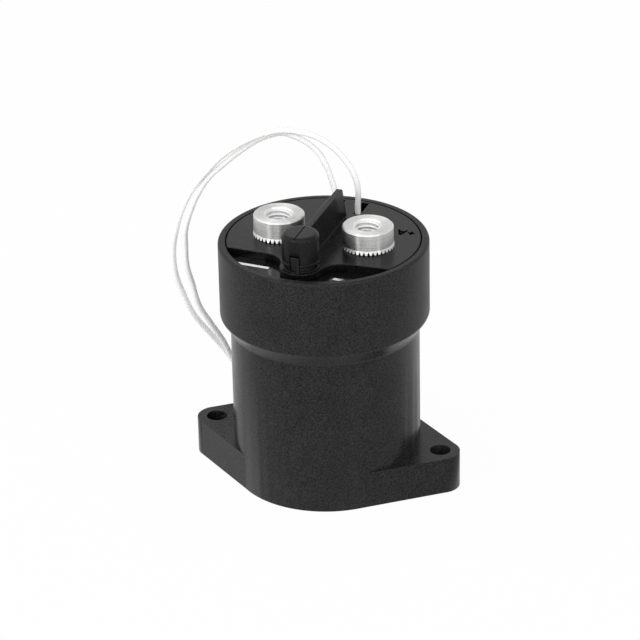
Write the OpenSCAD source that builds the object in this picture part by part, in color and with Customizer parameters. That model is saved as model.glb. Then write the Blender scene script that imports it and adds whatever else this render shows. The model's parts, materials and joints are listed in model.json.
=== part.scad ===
// High voltage DC contactor: a sealed contact chamber above a solenoid, in a moulded housing.
// Units are millimetres. The origin is on the mounting plane, under the middle of the housing.
// X runs along the ears and the power terminals, Z is up, and the tube cap is at the front (-Y).

/* [Housing] */
// Outer diameter of the lower body
body_d = 59.8; // [57:0.1:66]
// How far the collar stands out from the body, on the radius
collar_step = 3.25; // [2.6:0.05:5]
// Height of the rim above the mounting plane
housing_h = 81.2; // [78:0.1:90]
// Height of the collar, from the rim down to its lower edge
collar_h = 24.6; // [21:0.1:28]
// Height of the slope between the collar and the body
neck_h = 4.8; // [3:0.1:7]
// Radius of the collar's lower edge
collar_round = 1; // [0.4:0.1:2]
// Radius of the hollow where the slope meets the body
neck_round = 2; // [0.5:0.1:3]
// Thickness of the rim
rim_t = 2.3; // [1.6:0.1:2.8]
// Radius of the rim's outer edge
rim_round = 0.9; // [0.3:0.05:1.2]
// Wall of the lower body
wall_t = 2.2; // [1.6:0.1:2.8]
// Thickness of the floor
floor_t = 3; // [2:0.1:5]

/* [Flange] */
// Distance between the mounting holes
hole_pitch = 76.2; // [73:0.1:86]
// Diameter of the mounting holes
hole_d = 6.6; // [5:0.1:7.4]
// Diameter of the rounded ear ends
ear_d = 12.6; // [11:0.1:16]
// Thickness of the flange
flange_t = 12.2; // [9:0.1:16]
// Wall left around the pockets in the underside
pocket_wall = 2.6; // [2:0.1:3.4]
// Thickness left above the pockets
pocket_roof = 3.4; // [2:0.1:6]

/* [Top cover] */
// Thickness of the cover
cover_t = 2.5; // [1.8:0.1:3.5]
// Gap between the cover and the rim
cover_gap = 0.45; // [0.2:0.05:0.7]
// Distance of the front edge from the axis
front_y = 15.4; // [14.5:0.1:16.5]
// Half the length of the straight middle of the front edge
wing_x = 14; // [13.6:0.1:17]
// Angle by which the front edge sweeps back towards its corners
wing_sweep = 2.5; // [0:0.5:6]
// Radius of the hollow between the front edge and the boss
boss_fillet = 7; // [5:0.1:8]
// Height of the barrier between the terminals
barrier_h = 10.2; // [6:0.1:14]
// Thickness of the barrier at its foot
barrier_t = 2.5; // [2.1:0.1:3]
// Thickness of the barrier at its top
barrier_top_t = 2; // [1.2:0.1:2.5]
// Rear end of the barrier's foot
barrier_rear = 18.3; // [14:0.1:20]
// How far the rear end leans forward at the top
barrier_lean = 2.7; // [0:0.1:5]
// Length of a lead slot
slot_l = 8.9; // [7:0.1:9.6]
// Width of a lead slot
slot_w = 2.35; // [2.2:0.05:3.2]

/* [Tube cap] */
// Distance of the cap from the axis
cap_y = 20.6; // [19.8:0.1:22]
// Diameter of the cap
cap_d = 11.6; // [10.6:0.1:12.2]
// Height of the cap's top above the cover
cap_h = 11.4; // [10:0.1:15]
// Radius of the cap's upper edge
cap_round = 1.4; // [0.4:0.1:2]
// Wall of the cap
cap_t = 1.3; // [0.9:0.1:1.6]
// Height of the shoulder that the cap sits on
cap_seat_h = 1.9; // [1:0.1:3]
// Width of the lug that snaps into the cap
lug_w = 2.7; // [2:0.1:4]
// Height of the lug above the cover
lug_h = 5.2; // [4:0.1:6.5]
// Diameter of the round boss under the cap
boss_d = 13.2; // [12.8:0.1:15]

/* [Terminals] */
// Distance between the terminals
terminal_pitch = 29.4; // [28:0.1:31]
// Diameter of a terminal's head
terminal_d = 16.1; // [15:0.1:17]
// Height of the head above the cover
terminal_h = 6.7; // [5:0.1:10]
// Diameter of the threaded hole, to the outside of the thread
thread_d = 8; // [6:0.1:8.2]
// Depth of the threaded hole
thread_depth = 9; // [7:0.1:12]
// Diameter of the countersink
mouth_d = 9.2; // [8.6:0.1:10]
// Height of the knurled ring
knurl_h = 1.3; // [0.8:0.1:2.5]
// Number of teeth in the knurled ring
knurl_n = 36; // [24:1:48]
// How far the teeth stand out from the head
knurl_out = 0.25; // [0.1:0.05:0.6]
// Depth of the teeth
knurl_deep = 0.55; // [0.3:0.05:0.8]
// Diameter of the barrel in the casting resin
barrel_d = 12; // [11:0.1:13.5]
// Diameter of the shank that carries the fixed contact
shank_d = 10; // [9:0.1:10.8]

/* [Contact chamber] */
// Wall of the ceramic cup
chamber_t = 3; // [2:0.1:3.6]
// Thickness of the cup's roof
roof_t = 4; // [3:0.1:6]
// How far a terminal reaches into the cup
terminal_drop = 5.4; // [4:0.1:8]
// Sheet thickness of the weld ring
ring_t = 0.8; // [0.5:0.1:1.2]
// Height of the weld ring's wall
ring_h = 4; // [2:0.1:6]
// Thickness of the blow-out magnets
magnet_t = 2.95; // [2:0.05:3.6]
// Height of the blow-out magnets
magnet_h = 10; // [6:0.1:11]
// Angle that a magnet spans
magnet_span = 70; // [40:1:90]
// Diameter of the fill tube
tube_d = 4; // [3:0.1:4.6]
// Wall of the lobe that the fill tube enters
lobe_t = 2; // [1.4:0.1:2.2]

/* [Moving contact] */
// Travel of the plunger
stroke = 2.8; // [2:0.1:3.6]
// Travel left when the contacts meet
overtravel = 0.6; // [0.3:0.1:1]
// Width of the contact bridge
bridge_w = 11; // [8:0.1:13]
// Thickness of the contact bridge
bridge_t = 3; // [2:0.1:4]
// Diameter of the contact buttons
button_d = 8; // [6:0.1:9]
// Height of the contact buttons
button_h = 0.6; // [0.3:0.1:1]
// Length of the contact spring
contact_spring_l = 4.6; // [4:0.1:6]
// Diameter of the shaft
shaft_d = 4; // [3.4:0.1:4.4]
// Thickness of the retaining clip
clip_t = 0.8; // [0.5:0.1:1.2]
// Thickness of the spring seat
seat_t = 1; // [0.8:0.1:2]

/* [Solenoid] */
// Wall of the steel yoke
yoke_t = 2; // [1.5:0.1:2.6]
// Thickness of the yoke's floor
yoke_floor_t = 2.5; // [1.8:0.1:3.5]
// Thickness of the pole plate
plate_t = 4; // [3:0.1:5]
// Height of the coil bobbin
coil_h = 35.5; // [33:0.1:38]
// Wall of the coil bobbin
bobbin_t = 1.2; // [0.8:0.1:2]
// Sheet thickness of the guide tube
guide_t = 0.5; // [0.3:0.1:0.8]
// Diameter of the plunger
plunger_d = 18; // [16:0.1:20]
// Height of the plunger
plunger_h = 17; // [14:0.1:19]
// Thickness of the bump stop
bump_t = 1; // [0.6:0.1:2]
// Depth of the spring well in the fixed core
core_well = 8; // [6:0.1:10]
// Depth of the spring well in the plunger
plunger_well = 3; // [2:0.1:5]
// Mean diameter of the springs
spring_d = 8; // [7.4:0.1:8.4]
// Wire diameter of the springs
spring_wire = 0.9; // [0.6:0.1:1.1]

/* [Leads] */
// Diameter of a lead
lead_d = 1.9; // [1.4:0.1:2.2]
// Distance of a lead from the middle where it leaves the cover
lead_x = 3.95; // [3.4:0.05:4.6]
// Distance of a lead from the cover's rear edge
lead_inset = 8.9; // [8.5:0.1:10]
// Mean diameter of a coiled lead
lead_coil_d = 20.8; // [19:0.1:22]

/* [Fits] */
// Gap between fixed round pieces that seat in each other
fit = 0.05; // [0.02:0.01:0.1]
// Gap on the radius between the shaft and its bore
running = 0.08; // [0.03:0.01:0.1]
// Gap between pieces that pass each other freely
loose = 0.3; // [0.2:0.05:0.4]

/* [Hidden] */

$fn = 96;
// Overlap of a cutting tool past the face that it cuts
cut = 1;

// Housing
body_r = body_d / 2;
collar_r = body_r + collar_step;
rim_r = collar_r - rim_t;
bore_r = body_r - wall_t;
collar_z = housing_h - collar_h;
neck_z = collar_z - neck_h;
ledge_z = collar_z + wall_t;
ear_x = hole_pitch / 2;
ear_r = ear_d / 2;
// The flanks run just inside the lines that touch the body and an ear, at this angle of their normal
flank = acos((body_r - ear_r) / ear_x);

// Cover and cap
cover_z = housing_h - cover_t;
cover_r = rim_r - cover_gap;
boss_r = boss_d / 2;
cap_r = cap_d / 2;
cap_bore_r = cap_r - cap_t;
neck_r = cap_bore_r - fit;
seat_r = cap_r - cap_t / 3;
cap_z = housing_h + cap_seat_h;
cap_top = housing_h + cap_h;
neck_gap = 2.9;
neck_top = cap_top - cap_t - neck_gap;
lip_t = 0.25;
lip_h = 0.5;
groove_w = 0.4;
// The hollow between the front edge and the boss is an arc that touches both
fillet_y = -front_y - boss_fillet;
fillet_x = sqrt(pow(boss_r + boss_fillet, 2) - pow(cap_y + fillet_y, 2));

// Solenoid, from the floor up
yoke_r = bore_r - loose / 2;
yoke_in_r = yoke_r - yoke_t;
coil_z = floor_t + yoke_floor_t;
coil_top = coil_z + coil_h;
plate_z = coil_top + guide_t;
chamber_z = plate_z + plate_t;
plunger_r = plunger_d / 2;
guide_in_r = plunger_r + loose;
guide_r = guide_in_r + guide_t;
guide_flange = 2.5;
bobbin_in_r = guide_r + loose / 2;
bobbin_r = yoke_in_r - loose;
winding_r = bobbin_r - bobbin_t;
bump_inset = 1;
plunger_z = coil_z + guide_t + bump_t;
plunger_top = plunger_z + plunger_h;
air_gap = 0.2;
core_z = plunger_top + stroke + air_gap;
core_r = guide_in_r - fit;
core_shoulder = 2.3;
core_neck_r = core_r - core_shoulder;
shaft_r = shaft_d / 2;
shaft_bore_r = shaft_r + running;
well_r = spring_d / 2 + spring_wire / 2 + loose;

// Leads, rising through their slots behind the contact chamber
lead_r = lead_d / 2;
lead_y = cover_r - lead_inset;
slot_y = lead_y - lead_r - loose;
lead_rise = 2.8;

// Contacts, from the pole plate up
contact_clear = 0.05;
contact_gap = stroke - overtravel + contact_clear;
seat_gap = 1;
seat_z = chamber_z + seat_gap;
spring_z = seat_z + seat_t;
bridge_z = spring_z + contact_spring_l;
bridge_top = bridge_z + bridge_t;
contact_z = bridge_top + button_h + contact_gap;
chamber_top = contact_z + terminal_drop + roof_t;
terminal_x = terminal_pitch / 2;
terminal_r = terminal_d / 2;
knurl_r = terminal_r + knurl_out;
knurl_z = housing_h + knurl_h;
groove_share = 0.85;
terminal_top = housing_h + terminal_h;
shank_r = shank_d / 2;
barrel_r = barrel_d / 2;
braze_step = 1;
braze_r = barrel_r + braze_step;
braze_t = 2;
braze_z = chamber_top + braze_t;
magnet_r = bore_r - loose;
magnet_in_r = magnet_r - magnet_t;
magnet_top = chamber_z + magnet_h;
potting_z = max(ledge_z, magnet_top + loose);
potting_r = rim_r - fit;
// The chamber fills the room inside the magnets, with a flat at the rear for the leads
ring_r = magnet_in_r - loose;
ring_flat = lead_y - lead_r - loose;
cup_inset = ring_t + fit;
chamber_in_r = ring_r - cup_inset - chamber_t;
contact_x = chamber_in_r - shank_r - loose * 2;
clip_step = 1.8;
clip_r = shaft_r + clip_step;
groove_deep = 0.5;
groove_r = shaft_r - groove_deep;
shaft_tip = 1.2;
shaft_top = bridge_top + clip_t + shaft_tip;

// Fill tube, and the lobe of the chamber that it opens into
tube_r = tube_d / 2;
tube_t = 0.8;
tube_bore_r = tube_r - tube_t;
tube_z = chamber_top - roof_t;
tube_top = cap_top - cap_t - loose;
pinch_l = 2.4;
pinch_w = 5.2;
lobe_in_r = tube_r + loose * 2;
lobe_r = lobe_in_r + lobe_t;

// Straight start of a lead, up out of its slot
function lead_exit(side) =
    [for (z = [cover_z, housing_h + lead_rise]) [side * lead_x, lead_y, z]];

// Routes of the two leads, from the casting resin in the slots to their coils behind the housing
RIGHT_ROUTE = concat(lead_exit(1), [
    [4.1, 21.5, 89], [2.5, 21.8, 94.5], [-0.8, 22.2, 99], [-5.9, 22.4, 103.2],
    [-11.5, 22.4, 105.5], [-16, 21.5, 106.5], [-20.5, 20, 107], [-25, 19, 106], [-29, 18, 104.5],
    [-33.5, 17, 102], [-39, 15.5, 98], [-44.5, 14, 92], [-49.5, 13, 85], [-53, 12.5, 77.5],
    [-55, 12.5, 71], [-56.5, 13, 64], [-56.5, 14, 54.5], [-55, 16, 46.5], [-52.5, 18, 38.5],
    [-48.5, 21.5, 30.5], [-44.5, 25.5, 22.5], [-42.6, 29.5, 15.5], [-41.2, 34, 8.5],
    [-39.8, 39, 3.2], [-38.5, 44.2, 1]
]);
LEFT_ROUTE = concat(lead_exit(-1), [
    [-4.1, 22.5, 87], [-5.4, 23.5, 90.2], [-8, 24, 96], [-10.7, 24.2, 99.6], [-15, 23.8, 102.8],
    [-18.1, 23.2, 104.1], [-21.1, 22.3, 105.1], [-25.6, 21.3, 104.1], [-30.6, 19.7, 101.6],
    [-34.5, 18.4, 98.7], [-39.5, 16.8, 94.3], [-43.9, 15, 90], [-47.7, 13.5, 83.7],
    [-50.1, 13.2, 77.9], [-52, 13, 71.5], [-52.5, 13.5, 65], [-52.5, 14, 58], [-51.5, 15.5, 51],
    [-50, 17, 42.5], [-47, 19.5, 35], [-44, 22, 28], [-41.5, 24, 20.5], [-37.5, 25.5, 13],
    [-32, 26.5, 6.5], [-25, 27.8, 2.4], [-17, 30, 1], [-8.5, 34, 1], [1.3, 39.6, 1]
]);
RIGHT_COIL = [-28.5, 41.5, 0];
LEFT_COIL = [-4, 48.6, 0];
COIL_TURNS = 3;

// Colours of the finishes
BLACK = "#2c2c2e";
RESIN = "#17171a";
STEEL = "#9a9ca0";
SILVER = "#d4d4d2";
COPPER = "#b87333";
WHITE = "#f2f2ee";
FERRITE = "#4a4a50";
NYLON = "#e8e2d0";
RUBBER = "#3a3a3a";

// Points along an arc, for profiles
function arc(c, r, from, to, n = 8) =
    [for (i = [0:n]) c + r * [cos(from + (to - from) * i / n), sin(from + (to - from) * i / n)]];

function unit(v) = v / norm(v);

// Direction of a path at point i
function heading(path, i) =
    unit(path[min(i + 1, len(path) - 1)] - path[max(i - 1, 0)]);

// Side directions along a path, each turned as little as possible from the one before
function sides(path) =
    let (n = len(path))
    [for (i = 0, t = heading(path, 0), s = unit(cross(t, [0.3, 0.9, 0.2]));
        i < n;
        i = i + 1, t = heading(path, min(i, n - 1)), s = unit(s - (s * t) * t)) s];

// Solid round tube along a path
module sweep(path, r, facets = 8) {
    n = len(path);
    side = sides(path);
    points = [for (i = [0:n - 1], k = [0:facets - 1])
        let (a = 360 * k / facets)
        path[i] + r * (cos(a) * side[i] + sin(a) * cross(heading(path, i), side[i]))];
    walls = [for (i = [0:n - 2], k = [0:facets - 1])
        let (j = (k + 1) % facets)
        [i * facets + k, (i + 1) * facets + k, (i + 1) * facets + j, i * facets + j]];
    start = [[for (k = [0:facets - 1]) k]];
    end = [[for (k = [facets - 1:-1:0]) (n - 1) * facets + k]];
    polyhedron(points, concat(walls, start, end), convexity = 10);
}

// Helical spring from height z up, with most of a turn closed at each end
module spring(z, length, turns) {
    closed = 0.75;
    steps_per_turn = 14;
    rise = length - spring_wire;
    path = [for (i = [0:turns * steps_per_turn])
        let (
            turn = i / steps_per_turn,
            share = min(1, max(0, (turn - closed) / (turns - 2 * closed)))
        )
        [spring_d / 2 * cos(360 * turn), spring_d / 2 * sin(360 * turn),
            z + spring_wire / 2 + share * rise]];
    sweep(path, spring_wire / 2, 6);
}

// Outline of the flange: two ears, each joined to the body by its flanks
module flange_outline(inset = 0) {
    big = body_r - fit - inset;
    small = ear_r - fit - inset;
    for (s = [-1, 1]) {
        translate([s * ear_x, 0]) circle(ear_r - inset);
        polygon([
            [s * big * cos(flank), big * sin(flank)],
            [s * (ear_x + small * cos(flank)), small * sin(flank)],
            [s * (ear_x + small * cos(flank)), -small * sin(flank)],
            [s * big * cos(flank), -big * sin(flank)]
        ]);
    }
}

// Outer surface of the body, the sloping neck and the collar, as half a section
function housing_profile() =
    let (
        slope = atan2(neck_h, collar_step),
        bend = tan((90 - slope) / 2),
        low = [body_r + neck_round, neck_z - neck_round * bend],
        high = [collar_r - collar_round, collar_z + collar_round * bend],
        top = [collar_r - rim_round, housing_h - rim_round]
    )
    concat(
        [[0, 0], [body_r, 0]],
        arc(low, neck_round, 180, 90 + slope, 6),
        arc(high, collar_round, slope - 90, 0, 6),
        arc(top, rim_round, 0, 90, 6),
        [[0, housing_h]]
    );

module housing() {
    color(BLACK) difference() {
        union() {
            rotate_extrude() polygon(housing_profile());
            linear_extrude(flange_t) flange_outline();
        }
        translate([0, 0, floor_t]) cylinder(r = bore_r, h = housing_h);
        translate([0, 0, ledge_z]) cylinder(r = rim_r, h = housing_h);
        for (s = [-1, 1]) translate([s * ear_x, 0, -cut]) cylinder(d = hole_d, h = flange_t + 2 * cut);
        translate([0, 0, -cut]) linear_extrude(flange_t - pocket_roof + cut) difference() {
            flange_outline(pocket_wall);
            circle(body_r);
            for (s = [-1, 1]) translate([s * ear_x, 0]) circle(hole_d / 2 + pocket_wall);
        }
    }
}

// Outline of the cover: a disc with swept front edges, blended into the round boss
module cover_outline() {
    back = (cover_r - wing_x) * tan(wing_sweep);
    intersection() {
        circle(cover_r);
        polygon([
            [-cover_r, cover_r], [cover_r, cover_r], [cover_r, back - front_y],
            [wing_x, -front_y], [-wing_x, -front_y], [-cover_r, back - front_y]
        ]);
    }
    translate([0, -cap_y]) circle(boss_r);
    difference() {
        polygon([
            [-fillet_x, -front_y], [fillet_x, -front_y], [fillet_x, fillet_y],
            [0, -cap_y], [-fillet_x, fillet_y]
        ]);
        for (s = [-1, 1]) translate([s * fillet_x, fillet_y]) circle(boss_fillet);
    }
}

// Barrier wall between the terminals, drafted on its sides and leaning at its rear end
module barrier() {
    front = cap_r + loose - cap_y;
    foot = barrier_t / 2;
    top = barrier_top_t / 2;
    intersection() {
        translate([0, barrier_rear, housing_h]) rotate([90, 0, 0]) linear_extrude(barrier_rear - front)
            polygon([[-foot, 0], [foot, 0], [top, barrier_h], [-top, barrier_h]]);
        translate([-barrier_t, 0, housing_h]) rotate([90, 0, 90]) linear_extrude(2 * barrier_t)
            polygon([
                [front, 0], [barrier_rear, 0], [barrier_rear - barrier_lean, barrier_h],
                [front, barrier_h]
            ]);
    }
}

// Neck for the fill tube, with the shoulder and the lug that hold the cap
module cap_neck() {
    translate([0, -cap_y, cover_z]) cylinder(r = neck_r, h = neck_top - cover_z);
    translate([0, -cap_y, cover_z]) cylinder(r = seat_r, h = cap_z - cover_z);
    translate([0, -cap_y, housing_h]) intersection() {
        cylinder(r = cap_r, h = lug_h);
        translate([-lug_w / 2, -cap_d, 0]) cube([lug_w, cap_d, lug_h]);
    }
}

module top_cover() {
    color(BLACK) difference() {
        union() {
            translate([0, 0, cover_z]) linear_extrude(cover_t) cover_outline();
            barrier();
            cap_neck();
        }
        for (s = [-1, 1]) {
            translate([s * terminal_x, 0, cover_z - cut])
                cylinder(r = barrel_r + fit, h = cover_t + 2 * cut);
            translate([s * lead_x - slot_w / 2, slot_y, cover_z - cut])
                cube([slot_w, slot_l, cover_t + 2 * cut]);
        }
        translate([0, -cap_y, cover_z - cut]) cylinder(r = tube_r + fit, h = cap_h + cover_t + cut);
    }
}

module tube_cap() {
    height = cap_top - cap_z;
    color(BLACK) translate([0, -cap_y, cap_z]) difference() {
        rotate_extrude() polygon(concat(
            [[cap_bore_r, 0], [cap_r + lip_t, 0], [cap_r + lip_t, lip_h], [cap_r, lip_h + lip_t]],
            arc([cap_r - cap_round, height - cap_round], cap_round, 0, 90),
            [[0, height], [0, height - cap_t], [cap_bore_r, height - cap_t]]
        ));
        translate([-lug_w / 2 - loose, -cap_d, -cut])
            cube([lug_w + 2 * loose, cap_d, lug_h - cap_seat_h + 2 * loose + cut]);
        translate([-groove_w / 2, -cap_d, height - groove_w]) cube([groove_w, 2 * cap_d, cap_round]);
    }
}

// Copper tube from the chamber's lobe up into the cap, pinched shut at its upper end
module fill_tube() {
    body_top = tube_top - pinch_l;
    sliver = 0.01;
    color(COPPER) translate([0, -cap_y, 0]) {
        difference() {
            translate([0, 0, tube_z]) cylinder(r = tube_r, h = body_top - tube_z);
            translate([0, 0, tube_z - cut]) cylinder(r = tube_bore_r, h = body_top - tube_z);
        }
        hull() {
            translate([0, 0, body_top]) cylinder(r = tube_r, h = sliver, $fn = 32);
            translate([-pinch_w / 2, -tube_t / 2, tube_top - tube_t]) cube([pinch_w, tube_t, tube_t]);
        }
    }
}

// Groove between two teeth of the knurl: a V that is deepest at the foot and runs out below the head
module knurl_groove() {
    runout_r = terminal_r + fit;
    foot_r = knurl_r - knurl_deep;
    reach = knurl_deep + fit;
    half_w = groove_share * PI * knurl_r / knurl_n;
    translate([runout_r, 0, knurl_z]) rotate([0, atan((runout_r - foot_r) / knurl_h), 0])
        mirror([0, 0, 1]) linear_extrude(2 * knurl_h)
            polygon([[0, 0], [reach, -half_w], [reach, half_w]]);
}

// Power terminal: a head with a knurled foot and a threaded hole, on a shank that is brazed into the
// chamber's roof and carries the fixed contact
module terminal(side) {
    chamfer = 0.4;
    mouth = (mouth_d - thread_d) / 2;
    color(SILVER) difference() {
        union() {
            translate([side * contact_x, 0, 0]) rotate_extrude() polygon([
                [0, contact_z], [shank_r - chamfer, contact_z], [shank_r, contact_z + chamfer],
                [shank_r, chamber_top], [braze_r, chamber_top], [braze_r, braze_z], [0, braze_z]
            ]);
            translate([side * terminal_x, 0, 0]) {
                rotate_extrude() polygon([
                    [0, chamber_top + chamfer], [barrel_r, chamber_top + chamfer],
                    [barrel_r, housing_h], [knurl_r, housing_h], [terminal_r, knurl_z],
                    [terminal_r, terminal_top - chamfer], [terminal_r - chamfer, terminal_top],
                    [0, terminal_top]
                ]);
            }
        }
        translate([side * terminal_x, 0, 0])
            for (i = [0:knurl_n - 1]) rotate(360 * i / knurl_n) knurl_groove();
        translate([side * terminal_x, 0, 0]) rotate_extrude() polygon([
            [0, terminal_top - thread_depth - thread_d / 4],
            [thread_d / 2, terminal_top - thread_depth],
            [thread_d / 2, terminal_top - mouth], [mouth_d / 2, terminal_top],
            [mouth_d / 2, terminal_top + cut], [0, terminal_top + cut]
        ]);
    }
}

module terminal_left() {
    terminal(-1);
}

module terminal_right() {
    terminal(1);
}

// Casting resin from the ledge up to the cover, poured round the chamber, the studs and the leads
module potting() {
    color(RESIN) difference() {
        translate([0, 0, potting_z]) cylinder(r = potting_r, h = cover_z - potting_z);
        translate([0, 0, potting_z - cut]) linear_extrude(chamber_top - potting_z + cut)
            union() {
                chamber_outline(ring_t);
                tube_lobe(lobe_r + fit);
            }
        for (s = [-1, 1]) {
            translate([s * terminal_x, 0, chamber_top - cut]) cylinder(r = barrel_r + fit, h = cover_z);
            translate([s * contact_x, 0, chamber_top - cut]) cylinder(r = braze_r + fit, h = braze_t + cut);
            translate([s * lead_x, lead_y, potting_z - cut]) cylinder(r = lead_r + fit, h = cover_z);
        }
        translate([0, -cap_y, potting_z]) cylinder(r = tube_r + fit, h = cover_z);
    }
}

// Outline of the weld ring and, further in, of the ceramic cup: round with a flat at the rear
module chamber_outline(inset) {
    intersection() {
        circle(ring_r - inset);
        translate([-body_d, -body_d]) square([2 * body_d, body_d + ring_flat - inset]);
    }
}

// Outline of the lobe at the front of the chamber that the fill tube opens into
module tube_lobe(r) {
    half = r - fit;
    translate([0, -cap_y]) circle(r);
    translate([-half, -cap_y]) square([2 * half, cap_y]);
}

module arc_chamber() {
    foot = chamber_z + ring_t;
    lobe_floor = potting_z + lobe_t;
    color(WHITE) difference() {
        union() {
            translate([0, 0, foot]) linear_extrude(chamber_top - foot) chamber_outline(cup_inset);
            translate([0, 0, potting_z]) linear_extrude(chamber_top - potting_z) tube_lobe(lobe_r);
        }
        translate([0, 0, foot - cut]) linear_extrude(tube_z - foot + cut)
            chamber_outline(cup_inset + chamber_t);
        translate([0, 0, lobe_floor]) linear_extrude(tube_z - lobe_floor) tube_lobe(lobe_in_r);
        translate([0, 0, tube_z - cut]) {
            for (s = [-1, 1]) translate([s * contact_x, 0, 0])
                cylinder(r = shank_r + fit, h = roof_t + 2 * cut);
            translate([0, -cap_y, 0]) cylinder(r = tube_r + fit, h = roof_t + 2 * cut);
        }
    }
}

// Sheet ring that joins the chamber to the pole plate: a foot under the cup and a wall around it
module weld_ring() {
    color(STEEL) translate([0, 0, chamber_z]) difference() {
        linear_extrude(ring_t + ring_h) chamber_outline(0);
        translate([0, 0, ring_t]) linear_extrude(ring_h + cut) chamber_outline(ring_t);
        translate([0, 0, -cut]) linear_extrude(ring_t + 2 * cut) chamber_outline(cup_inset + chamber_t);
    }
}

// Curved blow-out magnet at one end of the chamber
module magnet(turn) {
    color(FERRITE) rotate(turn - magnet_span / 2) rotate_extrude(angle = magnet_span)
        translate([magnet_in_r, chamber_z]) square([magnet_r - magnet_in_r, magnet_h]);
}

module magnet_left() {
    magnet(180);
}

module magnet_right() {
    magnet(0);
}

module pole_plate() {
    color(STEEL) difference() {
        translate([0, 0, plate_z]) cylinder(r = yoke_r, h = plate_t);
        translate([0, 0, plate_z - cut]) cylinder(r = core_neck_r + fit, h = plate_t + 2 * cut);
        for (s = [-1, 1]) translate([s * lead_x, lead_y, plate_z - cut])
            cylinder(r = lead_r + loose, h = plate_t + 2 * cut);
    }
}

module yoke() {
    color(STEEL) difference() {
        translate([0, 0, floor_t]) cylinder(r = yoke_r, h = plate_z - floor_t);
        translate([0, 0, coil_z]) cylinder(r = yoke_in_r, h = plate_z);
    }
}

module coil_bobbin() {
    color(NYLON) rotate_extrude() polygon([
        [bobbin_in_r, coil_z], [bobbin_r, coil_z], [bobbin_r, coil_z + bobbin_t],
        [bobbin_in_r + bobbin_t, coil_z + bobbin_t], [bobbin_in_r + bobbin_t, coil_top - bobbin_t],
        [bobbin_r, coil_top - bobbin_t], [bobbin_r, coil_top], [bobbin_in_r, coil_top]
    ]);
}

module coil_winding() {
    color(COPPER) rotate_extrude()
        translate([bobbin_in_r + bobbin_t, coil_z + bobbin_t])
            square([winding_r - bobbin_in_r - bobbin_t, coil_h - 2 * bobbin_t]);
}

// Closed tube in which the plunger slides, with a flange held under the pole plate
module guide_tube() {
    flange_r = guide_r + guide_flange;
    color(STEEL) rotate_extrude() polygon([
        [0, coil_z], [guide_r, coil_z], [guide_r, coil_top], [flange_r, coil_top], [flange_r, plate_z],
        [guide_in_r, plate_z], [guide_in_r, coil_z + guide_t], [0, coil_z + guide_t]
    ]);
}

module fixed_core() {
    color(STEEL) difference() {
        union() {
            translate([0, 0, core_z]) cylinder(r = core_r, h = plate_z - core_z);
            translate([0, 0, plate_z]) cylinder(r = core_neck_r, h = plate_t);
        }
        translate([0, 0, core_z - cut]) cylinder(r = shaft_bore_r, h = chamber_z);
        translate([0, 0, core_z - cut]) cylinder(r = well_r, h = core_well + cut);
    }
}

module bump_stop() {
    color(RUBBER) translate([0, 0, plunger_z - bump_t]) cylinder(r = plunger_r - bump_inset, h = bump_t);
}

module return_spring() {
    z = plunger_top - plunger_well;
    color(SILVER) spring(z, core_z + core_well - z, 5);
}

module plunger() {
    chamfer = 0.5;
    color(STEEL) difference() {
        rotate_extrude() polygon([
            [0, plunger_z], [plunger_r - chamfer, plunger_z], [plunger_r, plunger_z + chamfer],
            [plunger_r, plunger_top - chamfer], [plunger_r - chamfer, plunger_top], [0, plunger_top]
        ]);
        translate([0, 0, plunger_z + bump_t]) cylinder(r = shaft_r + fit, h = plunger_h);
        translate([0, 0, plunger_top - plunger_well]) cylinder(r = well_r, h = plunger_well + cut);
    }
}

// Shaft with a groove for the clip under its upper end
module plunger_shaft() {
    chamfer = 0.4;
    color(SILVER) rotate_extrude() polygon([
        [0, plunger_z + bump_t], [shaft_r, plunger_z + bump_t], [shaft_r, bridge_top],
        [groove_r, bridge_top], [groove_r, bridge_top + clip_t], [shaft_r, bridge_top + clip_t],
        [shaft_r, shaft_top - chamfer], [shaft_r - chamfer, shaft_top], [0, shaft_top]
    ]);
}

module spring_seat() {
    color(STEEL) translate([0, 0, seat_z]) difference() {
        cylinder(r = well_r, h = seat_t);
        translate([0, 0, -cut]) cylinder(r = shaft_r + fit, h = seat_t + 2 * cut);
    }
}

module contact_spring() {
    color(SILVER) spring(spring_z, contact_spring_l, 3);
}

// Open clip in the shaft's groove
module retaining_clip() {
    color(STEEL) translate([0, 0, bridge_top]) difference() {
        cylinder(r = clip_r, h = clip_t);
        translate([0, 0, -cut]) cylinder(r = groove_r + fit, h = clip_t + 2 * cut);
        translate([-groove_r - fit, 0, -cut]) cube([2 * (groove_r + fit), clip_r + cut, clip_t + 2 * cut]);
    }
}

module contact_bridge() {
    color(COPPER) difference() {
        union() {
            translate([0, 0, bridge_z]) linear_extrude(bridge_t) intersection() {
                square([2 * chamber_in_r, bridge_w], center = true);
                circle(chamber_in_r - 2 * loose);
            }
            for (s = [-1, 1]) translate([s * contact_x, 0, bridge_top])
                cylinder(d = button_d, h = button_h);
        }
        translate([0, 0, bridge_z - cut]) cylinder(r = shaft_r + loose, h = bridge_t + 2 * cut);
    }
}

// Part of a lead inside the housing, from the bobbin up through the pole plate and the casting resin
module lead_tail(side) {
    color(WHITE) translate([side * lead_x, lead_y, coil_top]) cylinder(r = lead_r, h = cover_z - coil_top);
}

module lead_tail_left() {
    lead_tail(-1);
}

module lead_tail_right() {
    lead_tail(1);
}

// Outer shape of a lead's coil, lying behind the housing
module lead_coil(centre) {
    color(WHITE) translate(centre) rotate_extrude()
        translate([lead_coil_d / 2 - lead_r, 0]) square([lead_d, (COIL_TURNS + 1) * lead_d]);
}

module lead_left() {
    color(WHITE) sweep(LEFT_ROUTE, lead_r);
}

module lead_right() {
    color(WHITE) sweep(RIGHT_ROUTE, lead_r);
}

module lead_left_coil() {
    lead_coil(LEFT_COIL);
}

module lead_right_coil() {
    lead_coil(RIGHT_COIL);
}

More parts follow.
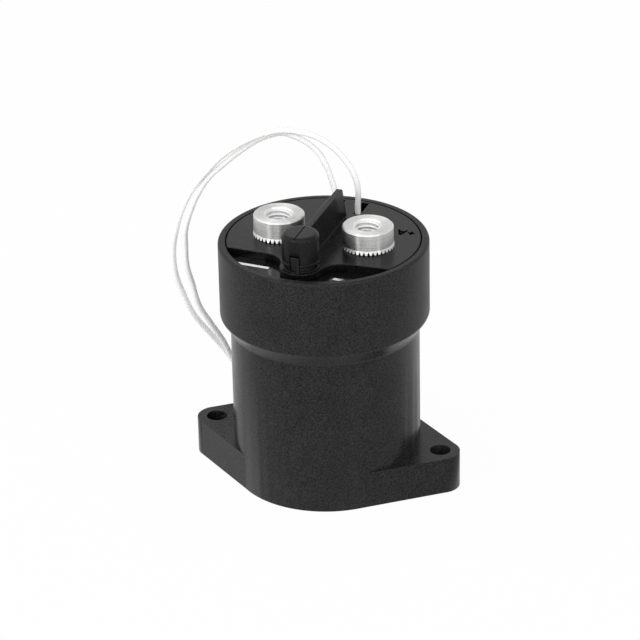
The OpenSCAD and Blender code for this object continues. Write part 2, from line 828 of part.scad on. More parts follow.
housing();
top_cover();
potting();
tube_cap();
fill_tube();
terminal_left();
terminal_right();
arc_chamber();
weld_ring();
magnet_left();
magnet_right();
pole_plate();
yoke();
coil_bobbin();
coil_winding();
guide_tube();
fixed_core();
bump_stop();
return_spring();
plunger();
plunger_shaft();
spring_seat();
contact_spring();
retaining_clip();
contact_bridge();
lead_tail_left();
lead_tail_right();
lead_left();
lead_right();
lead_left_coil();
lead_right_coil();
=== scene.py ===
"""Looks of the high voltage DC contactor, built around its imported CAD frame. Lengths are in metres."""

import json
import math

import bmesh
import bpy
from mathutils import Matrix, Vector


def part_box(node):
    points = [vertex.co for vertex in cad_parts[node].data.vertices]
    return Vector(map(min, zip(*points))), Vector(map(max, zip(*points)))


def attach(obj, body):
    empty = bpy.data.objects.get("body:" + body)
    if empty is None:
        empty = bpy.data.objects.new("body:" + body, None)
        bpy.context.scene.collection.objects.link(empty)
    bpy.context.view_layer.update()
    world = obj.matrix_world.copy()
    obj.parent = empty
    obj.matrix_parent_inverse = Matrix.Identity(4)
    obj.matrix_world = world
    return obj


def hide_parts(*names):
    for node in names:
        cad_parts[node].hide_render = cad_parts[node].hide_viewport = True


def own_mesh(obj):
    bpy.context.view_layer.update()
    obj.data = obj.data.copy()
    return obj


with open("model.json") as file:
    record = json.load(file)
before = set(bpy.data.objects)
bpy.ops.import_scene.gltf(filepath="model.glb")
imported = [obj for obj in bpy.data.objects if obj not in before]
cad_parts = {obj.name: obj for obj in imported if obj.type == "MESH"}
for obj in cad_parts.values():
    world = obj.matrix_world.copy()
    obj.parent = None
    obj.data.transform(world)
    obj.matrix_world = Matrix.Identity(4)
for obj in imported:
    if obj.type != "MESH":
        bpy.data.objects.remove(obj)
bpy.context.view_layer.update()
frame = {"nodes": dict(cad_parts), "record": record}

MM = 0.001
FIXED_BODY = "contactor"
SAME_POINT = 0.001 * MM

# Camera of the photograph
LENS_MM = 184.56
SENSOR_MM = 36
CAMERA_AZIMUTH = math.radians(20.213)
CAMERA_ELEVATION = math.radians(26.621)
CAMERA_ROLL = math.radians(-1.177)
CAMERA_DISTANCE = 1037.8 * MM
CAMERA_AIM_HEIGHT = 52.71 * MM
CAMERA_AIM_SIDE = -1.619 * MM
CAMERA_NEAR = 0.05

# Leads
LEAD_D = 1.9 * MM
LEAD_LENGTH = 380 * MM
COIL_R = 10.4 * MM
COIL_RISE = 1.95 * MM
POINTS_PER_TURN = 16
STEPS_PER_POINT = 6
QUARTER_SIDES = 5
FLOOR_REST = 1.05 * MM
RIGHT_ROUTE_MM = [
    (3.95, 21.5, 78.7), (3.95, 21.5, 84), (4.1, 21.5, 89), (2.5, 21.8, 94.5), (-0.8, 22.2, 99),
    (-5.9, 22.4, 103.2), (-11.5, 22.4, 105.5), (-16, 21.5, 106.5), (-20.5, 20, 107), (-25, 19, 106),
    (-29, 18, 104.5), (-33.5, 17, 102), (-39, 15.5, 98), (-44.5, 14, 92), (-49.5, 13, 85),
    (-53, 12.5, 77.5), (-55, 12.5, 71), (-56.5, 13, 64), (-56.5, 14, 54.5), (-55, 16, 46.5),
    (-52.5, 18, 38.5), (-48.5, 21.5, 30.5), (-44.5, 25.5, 22.5), (-42.6, 29.5, 15.5),
    (-41.2, 34, 8.5), (-39.8, 39, 3.2), (-38.5, 44.2, 1),
]
LEFT_ROUTE_MM = [
    (-3.95, 21.5, 78.7), (-3.95, 21.5, 84), (-4.1, 22.5, 87), (-5.4, 23.5, 90.2), (-8, 24, 96),
    (-10.7, 24.2, 99.6), (-15, 23.8, 102.8), (-18.1, 23.2, 104.1), (-21.1, 22.3, 105.1),
    (-25.6, 21.3, 104.1), (-30.6, 19.7, 101.6), (-34.5, 18.4, 98.7), (-39.5, 16.8, 94.3),
    (-43.9, 15, 90), (-47.7, 13.5, 83.7), (-50.1, 13.2, 77.9), (-52, 13, 71.5), (-52.5, 13.5, 65),
    (-52.5, 14, 58), (-51.5, 15.5, 51), (-50, 17, 42.5), (-47, 19.5, 35), (-44, 22, 28),
    (-41.5, 24, 20.5), (-37.5, 25.5, 13), (-32, 26.5, 6.5), (-25, 27.8, 2.4), (-17, 30, 1),
    (-8.5, 34, 1), (1.3, 39.6, 1),
]
RIGHT_COIL_MM = (-28.5, 41.5)
LEFT_COIL_MM = (-4, 48.6)

# Bare strands at the end of a lead, one in the middle and the others around it
STRIPPED = 6 * MM
STRANDS = 7
STRAND_R = 0.19 * MM
STRAND_RING_R = 0.4 * MM
STRAND_TURNS = 0.6
STRAND_STEPS = 12
STRAND_SIDES = 6

# Cable tie of a coil: after how many turns it sits, its band and its lock
TIE_TURN = 0.7
TIE_BAND = 2.4 * MM
TIE_T = 0.5 * MM
TIE_BEND = 0.8 * MM
TIE_STEPS = 32
TIE_LOCK = (1.9 * MM, 3.4 * MM, 3.6 * MM)
TIE_LOCK_OUT = 1.3 * MM
TIE_LOCK_ROUND = 0.35 * MM

# Thread in the terminals, M8 coarse, with half the width of its foot and of its crest
THREAD_R = 4 * MM
THREAD_CORE_R = 3.4 * MM
THREAD_PITCH = 1.25 * MM
THREAD_FOOT = 0.48 * THREAD_PITCH
THREAD_CREST = 0.07 * THREAD_PITCH
THREAD_SUNK = 0.03 * MM
THREAD_LENGTH = 8.2 * MM
THREAD_SIDES = 40
THREAD_METALLIC = 0.4
COUNTERSINK = 0.6 * MM
TERMINAL_X = frame["record"]["mounts"][-1]["pos_m"][0]

# Terminals: painted highlight on the bright rim at the top, painted light in the holes, and the knurled
# foot with painted shade between its teeth
TERMINAL_R = 8.05 * MM
PAINTED_RIM_HIGHLIGHT_W = 0.45 * MM
PAINTED_LIGHT_SHADE = 0.88
COVER_T = 2.5 * MM
COVER_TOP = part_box("potting")[1].z + COVER_T
KNURL_H = 1.3 * MM
KNURL_OUT = 0.25 * MM
# Painted shade between the knurl's teeth: how dark it gets, and over which depth it sets in
KNURL_PAINTED_SHADE = 0.9
KNURL_SHADE_FROM = 0.03 * MM
KNURL_SHADE_TO = 0.2 * MM
KNURL_FLARE = 0.5

# Polarity mark on the cover, read from the rear
PLUS_AT = (25.0 * MM, 11.8 * MM)
PLUS_SIZE = 2.2 * MM
LETTER_AT = (21.85 * MM, 11.5 * MM)
LETTER_SIZE = (2.6 * MM, 3.4 * MM)
MARK_STROKE = 0.7 * MM
MARK_RELIEF = 0.06 * MM

# Step in the casting resin: its middle line, sweep, width, height, and where it fades beside the boss
STEP_Y = -20.9 * MM
STEP_SWEEP = 0.053
STEP_W = 1.4 * MM
STEP_H = 0.165 * MM
STEP_END = 10.8 * MM
STEP_FADE = 1.5 * MM

# Rounded edges of the moulded pieces
EDGE_ROUND = 0.25 * MM
EDGE_ANGLE = math.radians(40)

# Black plastics: size of the cloudy sheen, size and share of pale dust, and grain
CLOUD_SIZE = 9 * MM
DUST_SIZE = 1.1 * MM
DUST_SHARE = 0.1
GRAIN = 0.5 * MM

# Matt finish of the collar: where it starts, over what height, and how much rougher it is
COLLAR_Z = 57 * MM
COLLAR_BLEND = 0.5 * MM
COLLAR_MATT = 0.16

# Floor
FLOOR_SIZE = 6
FLOOR_DROP = 0.05 * MM
FLOOR_GLOW = 0.97

# Light, with each lamp's azimuth and elevation in degrees, distance, size, and power in watts
AMBIENT = 0.52
LAMPS = {
    "left_softbox": (-57, 30, 1.4, (2.4, 1.4), 7),
    "left_lamp": (-29, 27, 1.3, (0.14, 0.2), 2.4),
    "right_lamp": (66, 27, 1.3, (0.08, 0.2), 1.8),
    "rear_strip": (206, 39.2, 1.3, (0.1, 0.05), 0.25),
    "top_softbox": (10, 64, 1.5, (1.5, 1.5), 5),
    "front_fill": (25, 22, 1.45, (1.4, 1.0), 4.4),
}


class Shader:
    """A material and the few kinds of node that the finishes here are made of."""

    def __init__(self, name):
        self.material = bpy.data.materials.new(name)
        self.material.use_nodes = True
        self.tree = self.material.node_tree
        self.surface = self.tree.nodes["Principled BSDF"]
        self.position = self.add("TexCoord").outputs["Object"]

    def add(self, kind, **settings):
        node = self.tree.nodes.new("ShaderNode" + kind)
        for key, value in settings.items():
            setattr(node, key, value)
        return node

    def put(self, socket, value):
        if isinstance(value, bpy.types.NodeSocket):
            self.tree.links.new(value, socket)
        else:
            socket.default_value = value

    def finish(self, **values):
        """Sets sockets of the surface shader, named with _ for a space."""
        for key, value in values.items():
            self.put(self.surface.inputs[key.replace("_", " ")], value)

    def noise(self, size, detail=3.0, vector=None):
        """Noise whose features are about that size."""
        node = self.add("TexNoise")
        self.put(node.inputs["Vector"], vector or self.position)
        node.inputs["Scale"].default_value = 1 / size
        node.inputs["Detail"].default_value = detail
        return node.outputs["Fac"]

    def line_noise(self, distance, size, detail=3.0):
        """Noise along one length, for turning marks and windings."""
        node = self.add("TexNoise", noise_dimensions="1D")
        self.put(node.inputs["W"], distance)
        node.inputs["Scale"].default_value = 1 / size
        node.inputs["Detail"].default_value = detail
        return node.outputs["Fac"]

    def math(self, operation, a, b=0.0):
        node = self.add("Math", operation=operation)
        self.put(node.inputs[0], a)
        self.put(node.inputs[1], b)
        return node.outputs[0]

    def span(self, factor, low, high, start=0.3, end=0.7):
        """Maps a factor between start and end to the span from low to high."""
        node = self.add("MapRange")
        self.put(node.inputs["Value"], factor)
        node.inputs["From Min"].default_value = start
        node.inputs["From Max"].default_value = end
        node.inputs["To Min"].default_value = low
        node.inputs["To Max"].default_value = high
        return node.outputs["Result"]

    def blend(self, factor, one, other):
        """Mixes two colours by a factor from 0 to 1."""
        node = self.add("Mix", data_type="RGBA")
        self.put(node.inputs["Factor"], factor)
        self.put(node.inputs["A"], one)
        self.put(node.inputs["B"], other)
        return node.outputs["Result"]

    def relief(self, height, depth, below=None):
        """Bump of that depth, on top of another bump if one is given."""
        node = self.add("Bump")
        node.inputs["Strength"].default_value = 1
        node.inputs["Distance"].default_value = depth
        self.put(node.inputs["Height"], height)
        if below:
            self.put(node.inputs["Normal"], below)
        return node.outputs["Normal"]

    def along(self, axis):
        """Position along one axis."""
        parts = self.add("SeparateXYZ")
        self.put(parts.inputs[0], self.position)
        return parts.outputs[axis]

    def around(self, x):
        """Distance from the vertical axis at x, and the height."""
        parts = self.add("SeparateXYZ")
        self.put(parts.inputs[0], self.position)
        off = self.math("SUBTRACT", parts.outputs["X"], x)
        radius = self.math("POWER", self.math(
            "ADD", self.math("MULTIPLY", off, off),
            self.math("MULTIPLY", parts.outputs["Y"], parts.outputs["Y"])), 0.5)
        return radius, parts.outputs["Z"]


def grey(value, warmth=0.0):
    return (value * (1 + warmth), value, value * (1 - warmth), 1)


def moulded_plastic(name, shade, roughness, grain, depth, specular, matt_above=None):
    """Black moulded plastic: fine grain, cloudy sheen and a few pale specks of dust.

    It can be more matt above a height.
    """
    made = Shader(name)
    clouds = made.noise(CLOUD_SIZE, 4)
    fine = made.noise(grain, 2)
    dust = made.span(made.noise(DUST_SIZE, 1), 0, DUST_SHARE, 0.76, 0.8)
    light = made.blend(made.span(clouds, 0, 1), grey(shade * 1.3), grey(shade * 1.9))
    tone = made.blend(made.span(fine, 0, 1, 0.35, 0.65), grey(shade * 0.3), light)
    sheen = made.math("ADD", made.span(clouds, *roughness), made.span(fine, -0.03, 0.03))
    if matt_above:
        spread = made.span(made.along("Z"), 0, COLLAR_MATT, matt_above, matt_above + COLLAR_BLEND)
        sheen = made.math("ADD", sheen, spread)
    made.finish(
        Base_Color=made.blend(dust, tone, grey(0.25, 0.02)),
        Roughness=sheen,
        Normal=made.relief(fine, depth),
        Specular_IOR_Level=specular,
    )
    return made.material


def casting_resin():
    """Glossy black resin with a shallow step, left by shrinkage, which catches the light from behind."""
    made = Shader("casting_resin")
    swept = made.math("ADD", made.along("Y"), made.math("MULTIPLY", made.along("X"), STEP_SWEEP))
    step = made.span(swept, 0, STEP_H, STEP_Y - STEP_W / 2, STEP_Y + STEP_W / 2)
    beside = made.span(made.math("ABSOLUTE", made.along("X")), 0, 1, STEP_END - STEP_FADE, STEP_END)
    made.finish(
        Base_Color=made.blend(made.noise(2 * MM), grey(0.003), grey(0.006)),
        Roughness=made.span(made.noise(7 * MM, 1), 0.03, 0.06),
        Specular_IOR_Level=0.2,
        Normal=made.relief(made.math("MULTIPLY", step, beside), 1.0),
    )
    return made.material


def turned_metal(name, x, top, metallic=1.0):
    """Bright plated metal with turning marks around the vertical axis at x, which stretch its highlights.

    It has a painted highlight on the rim at the top and painted light in the hole, where it is brightest,
    and painted shade between the teeth of the knurled foot.
    """
    made = Shader(name)
    radius, height = made.around(x)
    along = made.math("ADD", radius, height)
    rings = made.line_noise(along, 0.35 * MM, 2)
    pits = made.noise(0.6 * MM, 3)
    worn = made.math("MULTIPLY", made.math("ADD", rings, pits), 0.5)
    plate = made.blend(made.span(worn, 0, 1), grey(0.52, 0.006), grey(0.74, 0.006))
    # Painted highlight: a band along the outer top edge is made lighter in colour
    painted_rim_highlight = made.span(along, 0, 1, TERMINAL_R + top - PAINTED_RIM_HIGHLIGHT_W, TERMINAL_R + top - PAINTED_RIM_HIGHLIGHT_W / 2)
    # Painted light: the hole and its countersink are made lighter in colour
    painted_hole_light = made.math("LESS_THAN", radius, THREAD_R + COUNTERSINK)
    # The painted highlight and the painted light in the hole are mixed into the plating colour here
    plate = made.blend(made.math("MAXIMUM", painted_rim_highlight, painted_hole_light), plate, grey(PAINTED_LIGHT_SHADE))
    flare = made.math("MAXIMUM", made.math("SUBTRACT", COVER_TOP + KNURL_H, height), 0.0)
    flare = made.math("MINIMUM", flare, KNURL_H)
    below_head = made.math("GREATER_THAN", flare, 0.0)
    foot = made.math("MULTIPLY", below_head, made.math("LESS_THAN", flare, KNURL_H))
    teeth = made.math("ADD", made.math("MULTIPLY", flare, KNURL_OUT / KNURL_H), TERMINAL_R)
    depth = made.math("SUBTRACT", teeth, radius)
    # Painted shade: the grooves between the knurl's teeth are darkened with depth below the tips
    painted_groove_shade = made.span(depth, 0, KNURL_PAINTED_SHADE, KNURL_SHADE_FROM, KNURL_SHADE_TO)
    marks = made.relief(rings, 0.02 * MM, made.relief(flare, KNURL_FLARE))
    made.finish(
        Metallic=metallic,
        # The painted shade in the knurl's grooves darkens the colour towards near black here
        Base_Color=made.blend(made.math("MULTIPLY", painted_groove_shade, foot), plate, grey(0.02)),
        Roughness=made.span(worn, 0.34, 0.46),
        Anisotropic=0.9,
        Anisotropic_Rotation=0.25,
        Tangent=made.add("Tangent", direction_type="RADIAL", axis="Z").outputs[0],
        Normal=made.relief(pits, 0.02 * MM, marks),
    )
    return made.material


def plain_metal(name, low, high, roughness=(0.3, 0.45)):
    """Metal of an inner piece, with turning marks around the middle axis and slight staining."""
    made = Shader(name)
    radius, height = made.around(0)
    rings = made.line_noise(made.math("ADD", radius, height), 0.5 * MM)
    stain = made.noise(6 * MM, 4)
    made.finish(
        Metallic=1.0,
        Base_Color=made.blend(made.span(stain, 0, 1), low, high),
        Roughness=made.span(rings, *roughness),
        Normal=made.relief(rings, 0.015 * MM),
    )
    return made.material


def enamelled_wire():
    """Layers of enamelled copper wire on the bobbin, as rounded turns one above the other."""
    made = Shader("enamelled_wire")
    height = made.along("Z")
    turns = made.math("PINGPONG", height, 0.2 * MM)
    tone = made.line_noise(height, 0.8 * MM)
    made.finish(
        Metallic=1.0,
        Base_Color=made.blend(tone, (0.42, 0.16, 0.07, 1), (0.75, 0.36, 0.18, 1)),
        Roughness=made.span(made.noise(3 * MM), 0.25, 0.4),
        Normal=made.relief(turns, 1.0),
    )
    return made.material


def alumina():
    """Matt white ceramic with small dark specks."""
    made = Shader("alumina")
    specks = made.span(made.noise(0.6 * MM, 2), 0, 1, 0.7, 0.78)
    tone = made.blend(made.noise(8 * MM), grey(0.74, 0.03), grey(0.84, 0.02))
    made.finish(
        Base_Color=made.blend(made.math("MULTIPLY", specks, 0.5), tone, grey(0.35, 0.05)),
        Roughness=made.span(made.noise(4 * MM), 0.5, 0.65),
        Normal=made.relief(made.noise(0.3 * MM), 0.02 * MM),
    )
    return made.material


def matt(name, low, high, roughness, grain):
    """Matt finish of an inner piece: grain in the colour, the sheen and the relief."""
    made = Shader(name)
    fine = made.noise(grain, 4)
    made.finish(
        Base_Color=made.blend(made.span(fine, 0, 1), low, high),
        Roughness=made.span(made.noise(5 * MM), *roughness),
        Normal=made.relief(fine, 0.02 * MM),
    )
    return made.material


def insulation():
    """White wire insulation: smooth, slightly waxy, with faint handling marks."""
    made = Shader("lead_insulation")
    marks = made.noise(5 * MM, 4)
    fine = made.noise(1.2 * MM, 1)
    made.finish(
        Base_Color=made.blend(made.span(marks, 0, 1), grey(0.95, 0.004), grey(0.98, 0.002)),
        Roughness=made.span(marks, 0.3, 0.45),
        Normal=made.relief(fine, 0.004 * MM),
    )
    return made.material


def dress(material, *nodes):
    """Gives CAD nodes a material in every slot."""
    for name in nodes:
        node = frame["nodes"][name]
        if not node.data.materials:
            node.data.materials.append(material)
        for slot in node.material_slots:
            slot.material = material


def soften(width, *nodes):
    """Rounds the sharp edges of CAD nodes by that width."""
    for name in nodes:
        node = frame["nodes"][name]
        weld = node.modifiers.new("joined faces", "WELD")
        weld.merge_threshold = SAME_POINT
        bevel = node.modifiers.new("rounded edges", "BEVEL")
        bevel.width = width
        bevel.segments = 2
        bevel.limit_method = "ANGLE"
        bevel.angle_limit = EDGE_ANGLE
        bevel.harden_normals = True


def piece(name, build, material):
    """A mesh piece on the fixed body, filled in by build(bmesh)."""
    mesh = bpy.data.meshes.new(name)
    shape = bmesh.new()
    build(shape)
    bmesh.ops.recalc_face_normals(shape, faces=shape.faces)
    shape.to_mesh(mesh)
    shape.free()
    made = bpy.data.objects.new(name, mesh)
    bpy.context.scene.collection.objects.link(made)
    mesh.materials.append(material)
    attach(made, FIXED_BODY)
    return made


def skin(shape, rings, closed_ends=True):
    """Joins rings of points into a tube."""
    rows = [[shape.verts.new(point) for point in ring] for ring in rings]
    count = len(rows[0])
    for row, after in zip(rows, rows[1:]):
        for k in range(count):
            j = (k + 1) % count
            face = shape.faces.new((row[k], row[j], after[j], after[k]))
            face.smooth = True
    if closed_ends:
        shape.faces.new(rows[0])
        shape.faces.new(list(reversed(rows[-1])))


def spring(node, body, material):
    """Stands for a CAD spring: a copy of its mesh in that material, on the given body, in place of the
    hidden CAD node.
    """
    cad = frame["nodes"][node]
    made = bpy.data.objects.new(node + "_turns", cad.data.copy())
    bpy.context.scene.collection.objects.link(made)
    made.matrix_world = cad.matrix_world
    made.data.materials.clear()
    made.data.materials.append(material)
    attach(made, body)
    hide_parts(node)
    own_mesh(made)


def thread_ridge(shape, x, top):
    """Helical ridge of the thread, which fades in at its mouth and out at its foot."""
    count = round(THREAD_LENGTH / THREAD_PITCH * THREAD_SIDES)
    fade = THREAD_SIDES / 2
    outer = THREAD_R + THREAD_SUNK
    rings = []
    for i in range(count + 1):
        share = min(1, (i + 1) / fade, (count + 1 - i) / fade)
        crest = outer - (outer - THREAD_CORE_R) * share
        angle = math.tau * i / THREAD_SIDES
        z = top - COUNTERSINK - THREAD_LENGTH + THREAD_PITCH * i / THREAD_SIDES
        section = [
            (outer, z - THREAD_FOOT), (crest, z - THREAD_CREST),
            (crest, z + THREAD_CREST), (outer, z + THREAD_FOOT),
        ]
        rings.append([(x + r * math.cos(angle), r * math.sin(angle), h) for r, h in section])
    skin(shape, rings)


def bar(shape, start, end, stroke, low, high):
    """Straight stroke of a mark, from start to end."""
    start, end = Vector(start), Vector(end)
    along = (end - start).normalized()
    side = Vector((-along.y, along.x)) * stroke / 2
    corners = [start - side, end - side, end + side, start + side]
    rows = [[shape.verts.new((c.x, c.y, z)) for c in corners] for z in (low, high)]
    shape.faces.new(rows[1])
    for k in range(4):
        j = (k + 1) % 4
        shape.faces.new((rows[0][k], rows[0][j], rows[1][j], rows[1][k]))


def polarity_mark(shape):
    """Plus sign and letter on the cover, upright for someone at the rear."""
    low, high = COVER_TOP - MARK_RELIEF, COVER_TOP + MARK_RELIEF
    x, y = PLUS_AT
    half = PLUS_SIZE / 2
    bar(shape, (x, y - half), (x, y + half), MARK_STROKE, low, high)
    bar(shape, (x - half, y), (x + half, y), MARK_STROKE, low, high)
    x, y = LETTER_AT
    wide, tall = (size / 2 for size in LETTER_SIZE)
    bar(shape, (x, y - tall), (x - wide, y + tall), MARK_STROKE, low, high)
    bar(shape, (x, y - tall), (x + wide, y + tall), MARK_STROKE, low, high)
    bar(shape, (x - wide / 2, y + tall / 3), (x + wide / 2, y + tall / 3), MARK_STROKE, low, high)


def metres(points):
    return [Vector(p) * MM for p in points]


def coil_points(start, centre, turn_way, turns):
    """Turns of a lead's coil from start, rising a little over a diameter in each."""
    angle = math.atan2(start.y - centre.y, start.x - centre.x)
    count = round(turns * POINTS_PER_TURN)
    points = []
    for i in range(1, count + 1):
        turn = turns * i / count
        a = angle + turn_way * math.tau * turn
        points.append(Vector((
            centre.x + COIL_R * math.cos(a), centre.y + COIL_R * math.sin(a),
            start.z + COIL_RISE * turn)))
    return points


def lie_flat(knots, level):
    """Levels the handles of knots up to that height, so that the curve doesn't dip under the floor."""
    for before, knot, after in zip(knots, knots[1:], knots[2:]):
        if knot.co.z > level:
            continue
        along = after.co - before.co
        along.z = 0
        along.normalize()
        knot.handle_left_type = knot.handle_right_type = "FREE"
        knot.handle_left = knot.co - along * (knot.co - before.co).length / 3
        knot.handle_right = knot.co + along * (after.co - knot.co).length / 3


def smooth_curve(name, points, radius, material):
    """Round tube along a smooth curve through the points."""
    data = bpy.data.curves.new(name, "CURVE")
    data.dimensions = "3D"
    data.bevel_depth = radius
    data.bevel_resolution = QUARTER_SIDES
    data.use_fill_caps = True
    data.resolution_u = STEPS_PER_POINT
    spline = data.splines.new("BEZIER")
    spline.bezier_points.add(len(points) - 1)
    for knot, point in zip(spline.bezier_points, points):
        knot.co = point
        knot.handle_left_type = knot.handle_right_type = "AUTO"
    lie_flat(spline.bezier_points[:], FLOOR_REST)
    made = bpy.data.objects.new(name, data)
    bpy.context.scene.collection.objects.link(made)
    data.materials.append(material)
    return made


def strands(shape, tip, along):
    """Bare tinned strands twisted together at the end of a lead."""
    side = along.cross(Vector((0, 0, 1))).normalized()
    up = side.cross(along)
    for k in range(STRANDS):
        ring_r = STRAND_RING_R if k else 0
        rings = []
        for i in range(STRAND_STEPS + 1):
            share = i / STRAND_STEPS
            twist = math.tau * (k / (STRANDS - 1) + STRAND_TURNS * share)
            middle = tip + along * STRIPPED * share
            middle = middle + ring_r * (side * math.cos(twist) + up * math.sin(twist))
            rings.append([
                middle + STRAND_R * (side * math.cos(a) + up * math.sin(a))
                for a in (math.tau * n / STRAND_SIDES for n in range(STRAND_SIDES))])
        skin(shape, rings)


def tie(shape, centre, angle, low, high):
    """Cable tie round the bundle of a coil, with its lock on the outside."""
    outward = Vector((math.cos(angle), math.sin(angle), 0))
    along = Vector((-outward.y, outward.x, 0))
    middle = Vector((centre.x, centre.y, 0)) + outward * COIL_R
    wide = LEAD_D / 2
    tall = (high - low) / 2
    level = (high + low) / 2
    rings = []
    for n in range(TIE_STEPS):
        a = math.tau * n / TIE_STEPS
        corner_x = math.copysign(wide - TIE_BEND, math.cos(a))
        corner_z = math.copysign(tall - TIE_BEND, math.sin(a))
        ring = []
        for reach, shift in ((0, -1), (TIE_T, -1), (TIE_T, 1), (0, 1)):
            x = corner_x + (TIE_BEND + reach) * math.cos(a)
            z = level + corner_z + (TIE_BEND + reach) * math.sin(a)
            ring.append(middle + outward * x + along * (shift * TIE_BAND / 2) + Vector((0, 0, z)))
        rings.append(ring)
    skin(shape, rings + [rings[0]], closed_ends=False)
    bmesh.ops.remove_doubles(shape, verts=shape.verts, dist=SAME_POINT)
    lock = Matrix.Translation(middle + outward * (wide + TIE_LOCK_OUT) + Vector((0, 0, level)))
    lock = lock @ Matrix.Rotation(angle, 4, "Z") @ Matrix.Diagonal((*TIE_LOCK, 1))
    bmesh.ops.create_cube(shape, size=1, matrix=lock)
    # The last eight vertices are the lock's corners, but for one or two of the band's, rounded as well
    edges = {edge for vertex in shape.verts[-8:] for edge in vertex.link_edges}
    bmesh.ops.bevel(shape, geom=list(edges), offset=TIE_LOCK_ROUND, segments=2, affect="EDGES")


def lead(name, route, centre, turn_way, white, tinned, nylon):
    """Flying lead from its slot in the cover to a tied coil behind the housing."""
    points = metres(route)
    centre = Vector((centre[0] * MM, centre[1] * MM))
    foot = points[-1]
    shown = sum((b - a).length for a, b in zip(points, points[1:]))
    turns = (LEAD_LENGTH - shown) / math.hypot(math.tau * COIL_R, COIL_RISE)
    points = points + coil_points(foot, centre, turn_way, turns)
    made = smooth_curve(name + "_wire", points, LEAD_D / 2, white)
    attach(made, FIXED_BODY)
    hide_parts(name, name + "_coil")
    tip = points[-1]
    along = (tip - points[-2]).normalized()
    end = piece(name + "_strands", lambda shape: strands(shape, tip, along), tinned)
    angle = math.atan2(foot.y - centre.y, foot.x - centre.x) + turn_way * math.tau * TIE_TURN
    low = foot.z + COIL_RISE * TIE_TURN - LEAD_D / 2
    high = low + COIL_RISE * math.floor(turns - TIE_TURN) + LEAD_D
    band = piece(name + "_tie", lambda shape: tie(shape, centre, angle, low, high), nylon)


def seen_ray(tree):
    """Socket that is 1 for rays from the camera and for those that a glossy or clear surface sends on."""
    path = tree.nodes.new("ShaderNodeLightPath")
    seen = path.outputs["Is Camera Ray"]
    for kind in ("Is Glossy Ray", "Is Transmission Ray"):
        either = tree.nodes.new("ShaderNodeMath")
        either.operation = "MAXIMUM"
        tree.links.new(seen, either.inputs[0])
        tree.links.new(path.outputs[kind], either.inputs[1])
        seen = either.outputs[0]
    return seen


def studio_world():
    """White surroundings to look at, and a softer white that lights the object."""
    world = bpy.data.worlds.new("studio")
    bpy.context.scene.world = world
    world.use_nodes = True
    tree = world.node_tree
    lighting = tree.nodes["Background"]
    lighting.inputs["Color"].default_value = (1, 1, 1, 1)
    lighting.inputs["Strength"].default_value = AMBIENT
    shown = tree.nodes.new("ShaderNodeBackground")
    shown.inputs["Color"].default_value = (1, 1, 1, 1)
    mix = tree.nodes.new("ShaderNodeMixShader")
    tree.links.new(seen_ray(tree), mix.inputs[0])
    tree.links.new(lighting.outputs[0], mix.inputs[1])
    tree.links.new(shown.outputs[0], mix.inputs[2])
    tree.links.new(mix.outputs[0], tree.nodes["World Output"].inputs["Surface"])


def floor_finish():
    """White floor that keeps a soft part of the object's shadow."""
    made = Shader("studio_floor")
    made.finish(Base_Color=made.blend(made.noise(200 * MM), grey(0.78), grey(0.82)), Roughness=0.9)
    glow = made.add("Emission")
    mix = made.add("MixShader")
    share = made.math("MULTIPLY", seen_ray(made.tree), FLOOR_GLOW)
    made.put(mix.inputs[0], share)
    made.put(mix.inputs[1], made.surface.outputs[0])
    made.put(mix.inputs[2], glow.outputs[0])
    made.put(made.tree.nodes["Material Output"].inputs["Surface"], mix.outputs[0])
    made.material.cycles.emission_sampling = "NONE"
    return made.material


def studio_floor():
    bpy.ops.mesh.primitive_plane_add(size=FLOOR_SIZE, location=(0, 0, -FLOOR_DROP))
    floor = bpy.context.object
    floor.name = "studio_floor"
    floor.data.materials.append(floor_finish())


def softbox(name, azimuth, elevation, distance, size, power):
    """Lamp that faces the object. Azimuth 0 is the front and 90 the right-hand side."""
    data = bpy.data.lights.new(name, "AREA")
    data.shape = "RECTANGLE"
    data.size, data.size_y = size
    data.energy = power
    lamp = bpy.data.objects.new(name, data)
    bpy.context.scene.collection.objects.link(lamp)
    a, e = math.radians(azimuth), math.radians(elevation)
    away = Vector((math.sin(a) * math.cos(e), -math.cos(a) * math.cos(e), math.sin(e)))
    lamp.location = away * distance + Vector((0, 0, CAMERA_AIM_HEIGHT))
    lamp.rotation_euler = away.to_track_quat("Z", "Y").to_euler()
    lamp.visible_camera = False


def photo_camera():
    data = bpy.data.cameras.new("camera")
    data.lens = LENS_MM
    data.sensor_width = SENSOR_MM
    data.clip_start = CAMERA_NEAR
    camera = bpy.data.objects.new("camera", data)
    bpy.context.scene.collection.objects.link(camera)
    a, e = CAMERA_AZIMUTH, CAMERA_ELEVATION
    right = Vector((math.cos(a), math.sin(a), 0))
    back = Vector((math.sin(a) * math.cos(e), -math.cos(a) * math.cos(e), math.sin(e)))
    up = back.cross(right)
    tilted_right = right * math.cos(CAMERA_ROLL) + up * math.sin(CAMERA_ROLL)
    tilted_up = back.cross(tilted_right)
    aim = Vector((0, 0, CAMERA_AIM_HEIGHT)) + right * CAMERA_AIM_SIDE
    turn = Matrix((tilted_right, tilted_up, back)).transposed().to_4x4()
    camera.matrix_world = Matrix.Translation(aim + back * CAMERA_DISTANCE) @ turn
    bpy.context.scene.camera = camera


# Stage
bpy.context.scene.view_settings.view_transform = "Standard"
photo_camera()
studio_world()
studio_floor()
for lamp_name, lamp_values in LAMPS.items():
    softbox(lamp_name, *lamp_values)

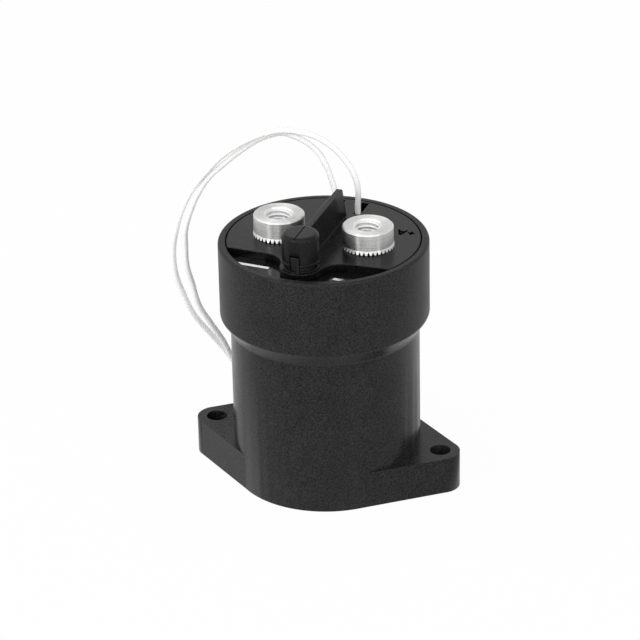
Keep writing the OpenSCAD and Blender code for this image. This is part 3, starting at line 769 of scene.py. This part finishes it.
# Finishes of the outer pieces
black_housing = moulded_plastic(
    "housing_plastic", shade=0.0155, roughness=(0.24, 0.32), grain=GRAIN, depth=0.02 * MM, specular=0.15,
    matt_above=COLLAR_Z)
black_cover = moulded_plastic(
    "cover_plastic", shade=0.005, roughness=(0.2, 0.28), grain=GRAIN, depth=0.012 * MM, specular=0.15)
black_cap = moulded_plastic(
    "cap_plastic", shade=0.006, roughness=(0.28, 0.38), grain=GRAIN, depth=0.012 * MM, specular=0.15)
dress(black_housing, "housing")
dress(black_cover, "top_cover")
dress(black_cap, "tube_cap")
dress(casting_resin(), "potting")
soften(EDGE_ROUND, "housing", "top_cover", "tube_cap")

# Finishes of the inner pieces
steel = plain_metal("steel", grey(0.42, -0.01), grey(0.58, -0.01))
spring_steel = plain_metal("spring_steel", grey(0.5), grey(0.68), (0.22, 0.35))
copper = plain_metal("copper", (0.6, 0.27, 0.14, 1), (0.8, 0.42, 0.25, 1), (0.25, 0.4))
dress(steel, "pole_plate", "yoke", "guide_tube", "fixed_core", "plunger", "spring_seat", "weld_ring")
dress(spring_steel, "plunger_shaft", "retaining_clip")
spring("return_spring", FIXED_BODY, spring_steel)
spring("contact_spring", "plunger_group", spring_steel)
dress(copper, "contact_bridge", "fill_tube")
dress(enamelled_wire(), "coil_winding")
dress(alumina(), "arc_chamber")
ferrite = matt("ferrite", grey(0.035), grey(0.07), roughness=(0.5, 0.7), grain=0.8 * MM)
nylon = matt("nylon", (0.7, 0.64, 0.48, 1), (0.8, 0.75, 0.6, 1), roughness=(0.4, 0.55), grain=0.7 * MM)
rubber = matt("bump_rubber", grey(0.02), grey(0.035), roughness=(0.7, 0.85), grain=0.5 * MM)
dress(ferrite, "magnet_left", "magnet_right")
dress(nylon, "coil_bobbin")
dress(rubber, "bump_stop")

# Terminals with their threads
for side, x in (("left", -TERMINAL_X), ("right", TERMINAL_X)):
    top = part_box("terminal_" + side)[1].z
    dress(turned_metal("terminal_plate_" + side, x, top), "terminal_" + side)
    cut_metal = turned_metal("thread_plate_" + side, x, top, THREAD_METALLIC)
    piece("thread_" + side, lambda shape: thread_ridge(shape, x, top), cut_metal)

# Mark on the cover
dark_mark = moulded_plastic(
    "mark_plastic", shade=0.002, roughness=(0.7, 0.8), grain=0.3 * MM, depth=0.01 * MM, specular=0.0)
piece("polarity_mark", polarity_mark, dark_mark)

# Leads
white = insulation()
tinned = plain_metal("tinned_strands", grey(0.6), grey(0.8), (0.3, 0.4))
dress(white, "lead_tail_left", "lead_tail_right")
lead("lead_right", RIGHT_ROUTE_MM, RIGHT_COIL_MM, -1, white, tinned, nylon)
lead("lead_left", LEFT_ROUTE_MM, LEFT_COIL_MM, 1, white, tinned, nylon)
